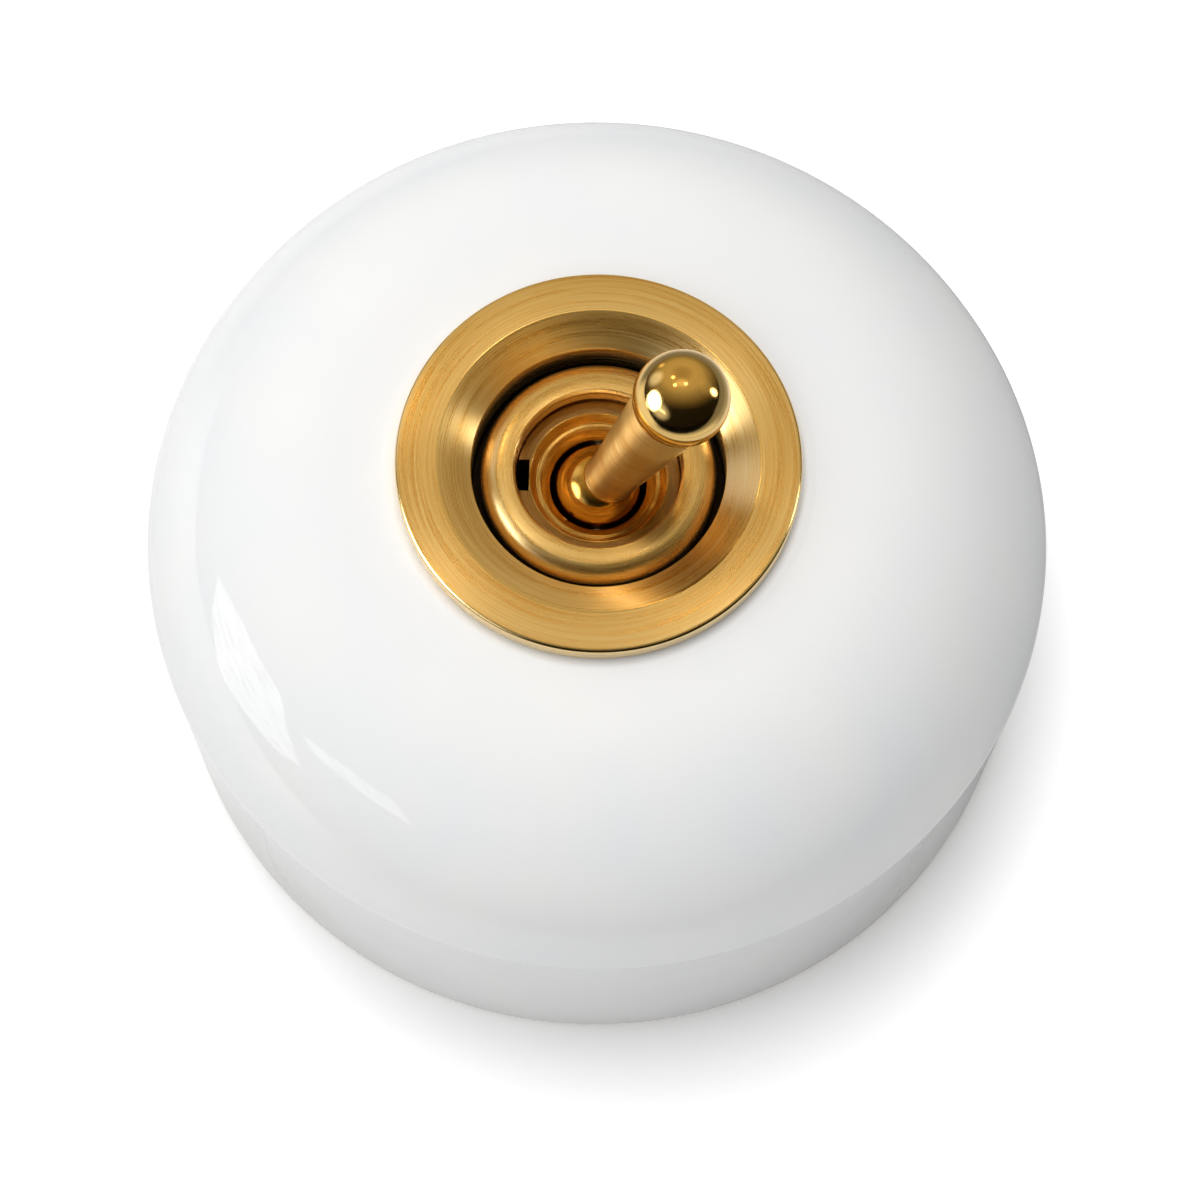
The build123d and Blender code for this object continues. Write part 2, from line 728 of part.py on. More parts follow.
# Screws and nuts that hold the bridge's feet to the base
for side, sign in sides:
    foot_top_z = base_t + bridge_t
    with BuildPart() as bridge_screw:
        with BuildSketch(Plane.XY.offset(back_recess_depth)):
            with Locations((sign * bridge_hole_x, 0)):
                Circle(bridge_screw_head_r)
        extrude(amount=-bridge_screw_head_h)
        fillet(bridge_screw.edges().group_by(Axis.Z)[0], head_edge)
        with BuildSketch(Plane.XY.offset(back_recess_depth - bridge_screw_head_h)):
            with Locations((sign * bridge_hole_x, 0)):
                Rectangle(slot_w, 2 * bridge_screw_head_r)
        extrude(amount=slot_depth, mode=Mode.SUBTRACT)
        with BuildSketch(Plane.XY.offset(back_recess_depth)):
            with Locations((sign * bridge_hole_x, 0)):
                Circle(bridge_screw_r)
        extrude(amount=foot_top_z + bridge_nut_h + bridge_screw_end - back_recess_depth)
    bridge_screw.part.label = f"bridge_screw_{side}"
    export_step(bridge_screw.part, f"parts/bridge_screw_{side}.step")

    with BuildPart() as bridge_nut:
        with BuildSketch(Plane.XY.offset(foot_top_z)):
            with Locations((sign * bridge_hole_x, 0)):
                RegularPolygon(bridge_nut_flats / sqrt(3), 6)
                Circle(bridge_screw_r, mode=Mode.SUBTRACT)
        extrude(amount=bridge_nut_h)
    bridge_nut.part.label = f"bridge_nut_{side}"
    export_step(bridge_nut.part, f"parts/bridge_nut_{side}.step")
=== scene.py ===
import json
from math import asin, atan, atan2, cos, degrees, pi, radians, sin, sqrt, tan

import bpy
from mathutils import Matrix, Vector


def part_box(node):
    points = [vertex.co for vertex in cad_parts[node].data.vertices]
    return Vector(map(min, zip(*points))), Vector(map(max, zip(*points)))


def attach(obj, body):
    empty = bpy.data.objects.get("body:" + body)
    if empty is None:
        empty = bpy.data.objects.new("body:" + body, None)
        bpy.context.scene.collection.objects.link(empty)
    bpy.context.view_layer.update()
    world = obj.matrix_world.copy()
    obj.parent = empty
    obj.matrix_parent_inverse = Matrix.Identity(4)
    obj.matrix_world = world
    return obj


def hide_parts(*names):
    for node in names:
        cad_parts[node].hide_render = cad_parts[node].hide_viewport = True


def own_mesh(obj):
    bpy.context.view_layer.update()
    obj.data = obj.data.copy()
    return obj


# Dolly light switch: a glazed porcelain cover with a turned brass bezel, ring nut, bush
# and dolly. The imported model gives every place; lengths written here are millimetres.

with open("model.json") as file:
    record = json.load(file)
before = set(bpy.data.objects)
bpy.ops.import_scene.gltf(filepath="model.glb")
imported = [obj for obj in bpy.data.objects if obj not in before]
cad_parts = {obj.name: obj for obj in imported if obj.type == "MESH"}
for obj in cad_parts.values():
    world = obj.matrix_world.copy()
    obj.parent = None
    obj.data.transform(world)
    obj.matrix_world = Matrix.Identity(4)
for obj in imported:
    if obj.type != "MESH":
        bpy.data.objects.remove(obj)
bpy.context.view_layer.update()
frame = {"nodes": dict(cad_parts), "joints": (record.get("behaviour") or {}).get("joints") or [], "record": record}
MM = 0.001
SEGMENTS = 256


def size_of(node):
    """Lowest and highest corner of a CAD node, in millimetres."""
    low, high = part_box(node)
    return low / MM, high / MM


def joint(name):
    """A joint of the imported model, by name."""
    return next(j for j in frame["joints"] if j["name"] == name)


# Heights and radii that the pieces share, read from the frame
cover_r = size_of("porcelain_cover")[1].x
seat_z = size_of("porcelain_cover")[1].z
bezel_r = size_of("bezel_ring")[1].x
bezel_foot_z, bezel_top_z = (corner.z for corner in size_of("bezel_ring"))
nut_r = size_of("ring_nut")[1].x
nut_foot_z, nut_top_z = (corner.z for corner in size_of("ring_nut"))
bush_flange_r = size_of("threaded_bush")[1].x
bush_foot_z, bush_top_z = (corner.z for corner in size_of("threaded_bush"))
pin_end_relief = 0.05
bush_r = size_of("pivot_pin")[1].y + pin_end_relief
pin_r = size_of("pivot_pin")[1].x
pivot = Vector(joint("dolly_swing")["pos_m"]) / MM
dolly_dir = Vector(joint("plunger_slide")["axis"])
dolly_lean = atan2(dolly_dir.x, dolly_dir.z)

# Porcelain cover
crease_z = 24.5
crease_angle = 16.0
crease_bead_h = 0.05
crease_bead_half_w = 0.35
shoulder_semi_r = 20.0
shoulder_semi_z = 19.62
dome_edge_slope = 4.0
cover_wall = 5.0
cover_top_t = 6.0
cover_foot_round = 0.6
cavity_corner_r = 11.0
cavity_corner_z = 12.0
cover_hole_r = 12.52
seat_r = bezel_r + 0.15
glaze_lip_h = 0.06
glaze_lip_w = 1.3
dome_join_gap = 0.3
seat_ledge_w = 1.0

# Bezel ring
bezel_edge_round = 0.38
bezel_edge_w = 0.3
bezel_flat_w = 3.2
cone_top_r = bezel_r - bezel_edge_w - bezel_flat_w
bezel_cone_depth = 1.7
bezel_bore_r = 10.82
bezel_spigot_wall = 1.4
bezel_foot_relief = 0.18
bezel_bevel = 0.08
# Rings of the bezel in the paler burnished finish, whose paler tint paints the edges' highlight
burnished_highlight_inset = 0.1
burnished_highlight_half_w = 0.09
cone_burnished_highlight_half_w = bezel_bevel * 0.9
bore_slack = 0.02
# How far below the nut's top the bezel's bore is painted black, as shade in the gap
gap_shade_drop = 2.6

# Ring nut
nut_dome_drop = 1.7
nut_dome_arc = 60.0
nut_land_r = 8.55
nut_bore_r = 7.05
nut_mouth_chamfer = 0.22
nut_mouth_steepness = 1.4
nut_foot_chamfer = 0.3
nut_bevel = 0.05
nut_side_w = 0.06
thread_pitch = 1.0
thread_depth = 0.3

# Threaded bush
bush_mouth_r = 5.85
bush_bore_r = 4.45
bush_step_w = 0.35
bush_cone_h = 0.9
bush_seat_r = 4.13
bush_seat_h = 0.35
seat_nick_w = 0.4
seat_nick_heading = -130.0
bush_foot_flare = 0.8
bush_flange_t = 2.0
bush_bevel = 0.09
keyway_w = 2.85
keyway_depth = 1.1
keyway_overshoot = 1.0
keyway_slack = 0.01
# Faces within this height of the bush's top, and this far out from its mouth, get the darker, rougher brass
dark_top_depth = 0.03
dark_top_inset = 0.2

# Dolly, measured along its own axis from the pivot
pivot_ball_r = 3.96
stalk_foot_r = 2.15
stalk_head_r = 3.3
stalk_fillet = 0.6
stalk_fillet_steps = ((0.03, 0.3), (0.14, 0.08))
ball_start_drop = 0.12
tip_distance = 21.6
tip_ball_r = 3.95
tail_r = 2.3
tail_length = 8.0
tail_bore_r = 1.55
tail_bore_top = 2.0
plunger_top = 5.1
spring_wire_r = 0.15
spring_mean_r = 1.15
spring_turns = 5
spring_end_gap = 0.05
turning_mark_pitch = 0.46
turning_mark_depth = 0.009
marks_start = 0.2
marks_rise = 3
marks_even = 0.55
marks_swell = 0.45
marks_beat = 1.7
pin_clearance = 0.05


def arc(centre, radii, start, end, steps):
    """Points along part of an ellipse, from one angle to another in degrees."""
    points = []
    for step in range(steps + 1):
        angle = radians(start + (end - start) * step / steps)
        points.append((centre[0] + radii[0] * cos(angle), centre[1] + radii[1] * sin(angle)))
    return points


def deselect():
    bpy.ops.object.select_all(action="DESELECT")


def draw_line(name, points):
    """Draws a line from point to point, one extrusion at a time, and stays in edit mode."""
    deselect()
    bpy.ops.mesh.primitive_plane_add(size=MM)
    piece = bpy.context.object
    piece.name = name
    bpy.ops.object.mode_set(mode="EDIT")
    bpy.ops.mesh.select_all(action="SELECT")
    bpy.ops.mesh.merge(type="CENTER")
    here = (0, 0, 0)
    for number, there in enumerate(points):
        step = tuple((end - start) * MM for end, start in zip(there, here))
        if number:
            bpy.ops.mesh.extrude_region_move(TRANSFORM_OT_translate={"value": step})
        else:
            bpy.ops.transform.translate(value=step)
        here = there
    bpy.ops.mesh.select_all(action="SELECT")
    return piece


def turned(name, outline, segments=SEGMENTS):
    """Lathe work: draws the outline (radius, height) and spins it round Z."""
    piece = draw_line(name, [(radius, 0, height) for radius, height in outline])
    bpy.ops.mesh.spin(steps=segments, angle=2 * pi, center=(0, 0, 0), axis=(0, 0, 1))
    bpy.ops.mesh.select_all(action="SELECT")
    bpy.ops.mesh.remove_doubles(threshold=0.001 * MM)
    bpy.ops.mesh.normals_make_consistent(inside=False)
    bpy.ops.object.mode_set(mode="OBJECT")
    return piece


def only(piece):
    """Leaves one object selected and active."""
    deselect()
    piece.select_set(True)
    bpy.context.view_layer.objects.active = piece


def apply_modifier(piece, kind, **settings):
    """Adds a modifier with its settings and applies it."""
    only(piece)
    modifier = piece.modifiers.new(kind.title(), kind)
    for key, value in settings.items():
        setattr(modifier, key, value)
    bpy.ops.object.modifier_apply(modifier=modifier.name)


def cut(piece, cutter):
    """Cuts one solid out of another and throws the cutter away."""
    apply_modifier(piece, "BOOLEAN", object=cutter, operation="DIFFERENCE", solver="EXACT")
    bpy.data.objects.remove(cutter)


def soften(piece, width, angle=30.0, segments=3):
    """Rounds every edge sharper than the angle, as tumbling or glazing does."""
    apply_modifier(
        piece, "BEVEL", width=width * MM, segments=segments, limit_method="ANGLE",
        angle_limit=radians(angle), use_clamp_overlap=True,
    )


def smooth(piece, angle=40.0):
    only(piece)
    bpy.ops.object.shade_smooth_by_angle(angle=radians(angle))


def finish_piece(piece, body, slot, material, *nodes):
    """Gives a finished piece its material and its body, and hides the nodes it stands for. The slot argument is
    not used.
    """
    piece.data.materials.clear()
    piece.data.materials.append(material)
    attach(piece, body)
    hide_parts(*nodes)


def paint_faces(piece, materials, slot_at):
    """Adds further materials, and gives each face the one that slot_at picks by its centre."""
    for material in materials:
        piece.data.materials.append(material)
    for face in piece.data.polygons:
        face.material_index = slot_at(face.center / MM)


# Materials


def colour(hex_value):
    """sRGB hex to linear RGBA."""
    channels = [int(hex_value[i:i + 2], 16) / 255 for i in (1, 3, 5)]
    return [c / 12.92 if c <= 0.04045 else ((c + 0.055) / 1.055) ** 2.4 for c in channels] + [1]


def add(tree, kind, inputs=None, stops=None, **settings):
    """Adds a node, sets its properties, ramp stops and sockets, and links sockets into it."""
    made = tree.nodes.new("ShaderNode" + kind)
    for key, value in settings.items():
        setattr(made, key, value)
    for key, value in (inputs or {}).items():
        socket = made.inputs[key]
        if isinstance(value, bpy.types.NodeSocket):
            tree.links.new(value, socket)
        else:
            socket.default_value = value
    if stops:
        ramp = made.color_ramp.elements
        while len(ramp) < len(stops):
            ramp.new(0.5)
        for element, (position, shade) in zip(ramp, stops):
            element.position = position
            element.color = shade
    return made


def blank_material(name):
    """A material with an empty node tree and its output."""
    material = bpy.data.materials.new(name)
    material.use_nodes = True
    material.node_tree.nodes.clear()
    return material, material.node_tree


def grey(level):
    return (level, level, level, 1)


# Sizes and depths of the finishes are in millimetres, roughness and stretch are shares
glaze_pool_size, glaze_pool_depth = 9.0, 0.03
glaze_peel_size, glaze_peel_depth = 1.1, 0.0012
unglazed_foot, glazed_from = 0.25, 0.4
scuff_size, scuff_depth = 0.5, 0.0004
buff_wave_size, buff_wave_depth = 3.0, 0.003
buff_hair_size = 0.3
mill_grain_size, mill_grain_depth = 0.4, 0.004
mill_grain_stretch = (0.15, 1, 1)
glaze_rough, bisque_rough = 0.045, 0.7

# How the turning marks sway the colour and the gloss
band_share = 0.6
band_runs, band_widths = 2.5, 5
tone_low, tone_high = 0.6, 1.0
gloss_low, gloss_high = 0.85, 1.2
lacquer_weight, lacquer_rough = 0.9, 0.12

# Between which levels the other noises swing, and what they do there
pool_low, pool_high = 0.3, 0.7
hair_low, hair_high = 0.35, 0.65
mill_dull = 0.85
mill_gloss_low, mill_gloss_high = 0.7, 1.3


def glazed_porcelain():
    # Vitreous porcelain under a clear glaze: even white, mirror gloss, and a surface that
    # rolls very slightly where the glaze pooled. The foot stands unglazed.
    material, tree = blank_material("glazed_porcelain")
    place = add(tree, "TexCoord").outputs["Object"]
    pool = add(tree, "TexNoise", {
        "Vector": place, "Scale": 1 / (glaze_pool_size * MM), "Detail": 1.5,
    })
    peel = add(tree, "TexNoise", {
        "Vector": place, "Scale": 1 / (glaze_peel_size * MM), "Detail": 2.0,
    })
    body = add(tree, "MapRange", {
        "Value": pool.outputs["Fac"], "From Min": pool_low, "From Max": pool_high,
    })
    white = add(tree, "Mix", {
        0: body.outputs["Result"], 6: colour("#F0F1F2"), 7: colour("#F3F3F2"),
    }, data_type="RGBA")
    height = add(tree, "SeparateXYZ", {"Vector": place})
    foot = add(tree, "MapRange", {
        "Value": height.outputs["Z"], "From Min": unglazed_foot * MM,
        "From Max": glazed_from * MM, "To Min": 1.0, "To Max": 0.0,
    })
    bisque = add(tree, "Mix", {
        0: foot.outputs["Result"], 6: white.outputs[2], 7: colour("#E4E0D6"),
    }, data_type="RGBA")
    gloss = add(tree, "MapRange", {
        "Value": foot.outputs["Result"], "To Min": glaze_rough, "To Max": bisque_rough,
    })
    slow = add(tree, "Bump", {
        "Height": pool.outputs["Fac"], "Strength": 1.0, "Distance": glaze_pool_depth * MM,
    })
    fine = add(tree, "Bump", {
        "Height": peel.outputs["Fac"], "Strength": 1.0, "Distance": glaze_peel_depth * MM,
        "Normal": slow.outputs["Normal"],
    })
    shader = add(tree, "BsdfPrincipled", {
        "Base Color": bisque.outputs[2], "Roughness": gloss.outputs["Result"], "IOR": 1.52,
        "Normal": fine.outputs["Normal"],
    })
    add(tree, "OutputMaterial", {"Surface": shader.outputs[0]})
    return material


def ring_coordinates(tree, centre, lean, slope, run, line):
    """Noise coordinates that run round a turned piece's axis without a seam.

    slope mixes height into the radius, so that rings stay apart on cones and stems; run is
    how many radians one mark lasts, and line is the width of one mark in millimetres.
    """
    place = add(tree, "TexCoord").outputs["Object"]
    axis = add(tree, "Mapping", {
        "Vector": place, "Location": centre, "Rotation": (0, lean, 0),
    }, vector_type="TEXTURE")
    flat = add(tree, "VectorMath", {0: axis.outputs[0], 1: (1, 1, 0)}, operation="MULTIPLY")
    radius = add(tree, "VectorMath", {0: flat.outputs[0]}, operation="LENGTH")
    heading = add(tree, "VectorMath", {0: flat.outputs[0]}, operation="NORMALIZE")
    height = add(tree, "SeparateXYZ", {"Vector": axis.outputs[0]})
    ring = add(tree, "Math", {
        0: height.outputs["Z"], 1: slope, 2: radius.outputs["Value"],
    }, operation="MULTIPLY_ADD")
    count = add(tree, "Math", {0: ring.outputs[0], 1: 1 / (line * MM)}, operation="MULTIPLY")
    round_axis = add(tree, "VectorMath", {
        0: heading.outputs[0], "Scale": 1 / run,
    }, operation="SCALE")
    stack = add(tree, "CombineXYZ", {"Z": count.outputs[0]})
    spread = add(tree, "VectorMath", {
        0: round_axis.outputs[0], 1: stack.outputs[0],
    }, operation="ADD")
    # The tool's feed runs round the axis, so the gloss spreads across it
    turn = add(tree, "VectorRotate", {
        "Vector": (0, 0, 1), "Axis": (0, 1, 0), "Angle": lean,
    }, rotation_type="AXIS_ANGLE")
    centred = add(tree, "VectorMath", {0: place, 1: centre}, operation="SUBTRACT")
    feed = add(tree, "VectorMath", {
        0: turn.outputs[0], 1: centred.outputs[0],
    }, operation="CROSS_PRODUCT")
    world_feed = add(tree, "VectorTransform", {
        "Vector": feed.outputs[0],
    }, vector_type="VECTOR", convert_from="OBJECT", convert_to="WORLD")
    normal = add(tree, "NewGeometry").outputs["Normal"]
    across = add(tree, "VectorMath", {
        0: normal, 1: world_feed.outputs[0],
    }, operation="CROSS_PRODUCT")
    return spread.outputs[0], across.outputs[0], place


def turned_brass(
    name, rough, spread, line=0.13, run=0.3, depth=0.003, slope=1.0,
    centre=(0, 0, 0), lean=0.0, pits=0.0, mid="#E4B765", light="#F5D48F",
):
    """Machined brass: fine concentric tool marks that pull every reflection across them.

    The marks are drawn coarser than a lathe leaves them, so that they show in the render.
    depth is theirs, and pits deepens the scuffs between them, both in millimetres.
    """
    material, tree = blank_material(name)
    ring, across, place = ring_coordinates(tree, centre, lean, slope, run, line)
    marks = add(tree, "TexNoise", {"Vector": ring, "Scale": 1.0, "Detail": 2.5, "Roughness": 0.6})
    broad_ring, _, _ = ring_coordinates(
        tree, centre, lean, slope, run * band_runs, line * band_widths,
    )
    bands = add(tree, "TexNoise", {"Vector": broad_ring, "Scale": 1.0, "Detail": 2.0})
    scuff = add(tree, "TexNoise", {
        "Vector": place, "Scale": 1 / (scuff_size * MM), "Detail": 3.0,
    })
    soft_bands = add(tree, "Math", {
        0: bands.outputs["Fac"], 1: band_share,
    }, operation="MULTIPLY")
    tone = add(tree, "Math", {0: marks.outputs["Fac"], 1: soft_bands.outputs[0]}, operation="ADD")
    shade = add(tree, "MapRange", {
        "Value": tone.outputs[0], "From Min": tone_low, "From Max": tone_high,
    })
    tint = add(tree, "Mix", {
        0: shade.outputs["Result"], 6: colour(mid), 7: colour(light),
    }, data_type="RGBA")
    gloss = add(tree, "MapRange", {
        "Value": tone.outputs[0], "From Min": tone_low, "From Max": tone_high,
        "To Min": rough * gloss_low, "To Max": rough * gloss_high,
    })
    groove = add(tree, "Bump", {
        "Height": marks.outputs["Fac"], "Strength": 1.0, "Distance": depth * MM,
    })
    scuffs = add(tree, "Bump", {
        "Height": scuff.outputs["Fac"], "Strength": 1.0, "Distance": (scuff_depth + pits) * MM,
        "Normal": groove.outputs["Normal"],
    })
    shader = add(tree, "BsdfPrincipled", {
        "Base Color": tint.outputs[2], "Metallic": 1.0, "Roughness": gloss.outputs["Result"],
        "Anisotropic": spread, "Tangent": across, "Normal": scuffs.outputs["Normal"],
        "Coat Weight": lacquer_weight, "Coat Roughness": lacquer_rough,
    })
    add(tree, "OutputMaterial", {"Surface": shader.outputs[0]})
    return material


def polished_brass(name, tint, rough):
    # Buffed brass: a mirror with the faintest hairlines and a slow waviness
    material, tree = blank_material(name)
    place = add(tree, "TexCoord").outputs["Object"]
    wave = add(tree, "TexNoise", {
        "Vector": place, "Scale": 1 / (buff_wave_size * MM), "Detail": 1.0,
    })
    hair = add(tree, "TexNoise", {
        "Vector": place, "Scale": 1 / (buff_hair_size * MM), "Detail": 3.0,
    })
    gloss = add(tree, "MapRange", {
        "Value": hair.outputs["Fac"], "From Min": hair_low, "From Max": hair_high,
        "To Min": rough * gloss_low, "To Max": rough * gloss_high,
    })
    roll = add(tree, "Bump", {
        "Height": wave.outputs["Fac"], "Strength": 1.0, "Distance": buff_wave_depth * MM,
    })
    shader = add(tree, "BsdfPrincipled", {
        "Base Color": colour(tint), "Metallic": 1.0, "Roughness": gloss.outputs["Result"],
        "Normal": roll.outputs["Normal"],
    })
    add(tree, "OutputMaterial", {"Surface": shader.outputs[0]})
    return material


def painted_shade_and_oil_brass():
    # Brass painted black down in the keyway and the narrow gaps: painted shade, and in the keyway also old cutting
    # oil and dust
    material, tree = blank_material("painted_shade_and_oil_brass_gaps")
    shader = add(tree, "BsdfPrincipled", {
        "Base Color": colour("#241708"), "Metallic": 0.3, "Roughness": 0.7,
    })
    add(tree, "OutputMaterial", {"Surface": shader.outputs[0]})
    return material


def rolled_metal(name, tint, rough, metallic=1.0):
    # Sheet, bar and wire as it comes from the mill, and with metallic 0 pressed fibre and
    # moulded resin: soft gloss, a fine grain along X
    material, tree = blank_material(name)
    place = add(tree, "TexCoord").outputs["Object"]
    along = add(tree, "Mapping", {"Vector": place, "Scale": mill_grain_stretch})
    lines = add(tree, "TexNoise", {
        "Vector": along.outputs[0], "Scale": 1 / (mill_grain_size * MM), "Detail": 3.0,
    })
    base = colour(tint)
    dull = [channel * mill_dull for channel in base[:3]] + [1]
    shade = add(tree, "Mix", {0: lines.outputs["Fac"], 6: dull, 7: base}, data_type="RGBA")
    gloss = add(tree, "MapRange", {
        "Value": lines.outputs["Fac"], "To Min": rough * mill_gloss_low,
        "To Max": rough * mill_gloss_high,
    })
    dents = add(tree, "Bump", {
        "Height": lines.outputs["Fac"], "Strength": 1.0, "Distance": mill_grain_depth * MM,
    })
    shader = add(tree, "BsdfPrincipled", {
        "Base Color": shade.outputs[2], "Metallic": metallic, "Roughness": gloss.outputs["Result"],
        "Normal": dents.outputs["Normal"],
    })
    add(tree, "OutputMaterial", {"Surface": shader.outputs[0]})
    return material


# Pieces


def porcelain_cover():
    """One moulding: flat seat, shallow dome, elliptical shoulder, soft crease, straight wall."""
    crease_t = atan(shoulder_semi_z * tan(radians(crease_angle)) / shoulder_semi_r)
    wall_r = cover_r - crease_bead_h
    centre_r = wall_r - shoulder_semi_r * cos(crease_t)
    centre_z = crease_z - shoulder_semi_z * sin(crease_t)
    dome_t = pi / 2 - atan(shoulder_semi_r * tan(radians(dome_edge_slope)) / shoulder_semi_z)
    edge_r = centre_r + shoulder_semi_r * cos(dome_t)
    edge_z = centre_z + shoulder_semi_z * sin(dome_t)
    dome_r = edge_r / sin(radians(dome_edge_slope))
    dome_z = edge_z - dome_r * cos(radians(dome_edge_slope))
    cavity_r = cover_r - cover_wall
    cavity_z = seat_z - cover_top_t

    dome = arc((0, dome_z), (dome_r, dome_r), 90 - degrees(asin(seat_r / dome_r)),
               90 - dome_edge_slope, 24)
    lip_steps = [seat_r + glaze_lip_w * step / 10 for step in range(11)]
    lip = [(r, dome_z + sqrt(dome_r**2 - r**2) + glaze_lip_h * sin(pi * i / 10) ** 2)
           for i, r in enumerate(lip_steps)]
    beyond = [(r, z) for r, z in dome if r > lip_steps[-1] + dome_join_gap]
    shoulder = arc((centre_r, centre_z), (shoulder_semi_r, shoulder_semi_z),
                   degrees(dome_t), degrees(crease_t), 48)[1:-1]
    above = [(r, z) for r, z in shoulder if z > crease_z + crease_bead_half_w]
    bead = []
    for step in range(9):
        across = 1 - step / 4
        z = crease_z + crease_bead_half_w * across
        drop = max(0, z - crease_z) * tan(radians(crease_angle))
        bead.append((wall_r - drop + crease_bead_h * cos(across * pi / 2) ** 2, z))
    foot = arc((wall_r - cover_foot_round, cover_foot_round),
               (cover_foot_round, cover_foot_round), 0, -90, 6)
    inner_foot = arc((cavity_r + cover_foot_round, cover_foot_round),
                     (cover_foot_round, cover_foot_round), -90, -180, 6)
    corner = arc((cavity_r - cavity_corner_r, cavity_z - cavity_corner_z),
                 (cavity_corner_r, cavity_corner_z), 0, 90, 20)
    hole = [
        (cover_hole_r, cavity_z), (cover_hole_r, seat_z), (seat_r - seat_ledge_w, seat_z),
    ]
    outline = lip + beyond + above + bead + foot + inner_foot + corner + hole + lip[:1]
    piece = turned("porcelain_cover_glazed", outline)
    smooth(piece, 50)
    return piece


def bezel_ring():
    """Turned ring: rounded rim, flat annulus, wide countersink, bore, and the cup below."""
    rim = arc((bezel_r - bezel_edge_round, bezel_top_z - bezel_edge_round),
              (bezel_edge_round, bezel_edge_round), 90, 0, 8)
    outline = [(cone_top_r, bezel_top_z)] + rim + [
        (bezel_r, seat_z + bezel_foot_relief),
        (bezel_r - bezel_foot_relief, seat_z),
        (bezel_bore_r + bezel_spigot_wall, seat_z),
        (bezel_bore_r + bezel_spigot_wall, bezel_foot_z),
        (nut_bore_r, bezel_foot_z),
        (nut_bore_r, nut_foot_z),
        (bezel_bore_r, nut_foot_z),
        (bezel_bore_r, nut_top_z - gap_shade_drop),
        (bezel_bore_r, bezel_top_z - bezel_cone_depth),
        (cone_top_r, bezel_top_z),
    ]
    piece = turned("bezel_ring_turned", outline)
    soften(piece, bezel_bevel, angle=25)
    smooth(piece, 35)
    return piece


def ring_nut():
    """Domed nut: flank up to a flat land, chamfered mouth, and the thread inside."""
    flank_r = (nut_r - nut_land_r) / (1 - cos(radians(nut_dome_arc)))
    flank = arc((nut_r - flank_r, nut_top_z - nut_dome_drop),
                (flank_r, nut_dome_drop / sin(radians(nut_dome_arc))), 0, nut_dome_arc, 14)
    mouth = [
        (nut_bore_r + nut_mouth_chamfer, nut_top_z),
        (nut_bore_r, nut_top_z - nut_mouth_chamfer * nut_mouth_steepness),
    ]
    thread = []
    z = mouth[-1][1] - thread_pitch / 4
    while z - thread_pitch > nut_foot_z + thread_pitch / 4:
        thread += [(nut_bore_r, z), (nut_bore_r + thread_depth, z - thread_pitch / 2)]
        z -= thread_pitch
    outline = flank + mouth + thread + [
        (nut_bore_r, z), (nut_bore_r, nut_foot_z), (nut_r - nut_foot_chamfer, nut_foot_z),
        (nut_r, nut_foot_z + nut_foot_chamfer), flank[0],
    ]
    piece = turned("ring_nut_turned", outline)
    soften(piece, nut_bevel, angle=25, segments=2)
    smooth(piece, 35)
    return piece


def threaded_bush():
    """Bush: stepped countersink, ball seat, flange below, a keyway and the pin's cross hole."""
    step_r = (bush_mouth_r + bush_bore_r) / 2
    step_z = bush_top_z - bush_cone_h
    seat_top_z = step_z - bush_cone_h
    seat_foot_z = seat_top_z - bush_seat_h
    outline = [
        (bush_r, bush_top_z),
        (bush_mouth_r, bush_top_z),
        (step_r + bush_step_w / 2, step_z),
        (step_r - bush_step_w / 2, step_z),
        (bush_seat_r, seat_top_z),
        (bush_seat_r, seat_foot_z),
        (bush_bore_r, seat_foot_z - bush_bore_r + bush_seat_r),
        (bush_bore_r, bush_foot_z + bush_foot_flare),
        (bush_bore_r + bush_foot_flare, bush_foot_z),
        (bush_flange_r, bush_foot_z),
        (bush_flange_r, bush_foot_z + bush_flange_t),
        (bush_r, bush_foot_z + bush_flange_t),
        (bush_r, bush_top_z),
    ]
    piece = turned("threaded_bush_turned", outline)
    soften(piece, bush_bevel, angle=20)
    deselect()
    key_h = bush_top_z - bush_foot_z - bush_flange_t
    key_z = bush_top_z - key_h / 2 + keyway_overshoot / 2
    bpy.ops.mesh.primitive_cube_add(
        size=1, location=(-bush_r * MM, 0, key_z * MM),
        scale=(2 * keyway_depth * MM, keyway_w * MM, (key_h + keyway_overshoot) * MM),
    )
    cut(piece, bpy.context.object)
    deselect()
    bpy.ops.mesh.primitive_cylinder_add(
        vertices=48, radius=pin_r * MM, depth=3 * bush_r * MM,
        location=(0, 0, pivot.z * MM), rotation=(pi / 2, 0, 0),
    )
    cut(piece, bpy.context.object)
    heading = radians(seat_nick_heading)
    deselect()
    bpy.ops.mesh.primitive_cube_add(
        size=seat_nick_w * MM, rotation=(0, 0, heading + pi / 4),
        location=Vector((bush_seat_r * cos(heading), bush_seat_r * sin(heading), seat_top_z)) * MM,
    )
    cut(piece, bpy.context.object)
    smooth(piece, 35)
    return piece


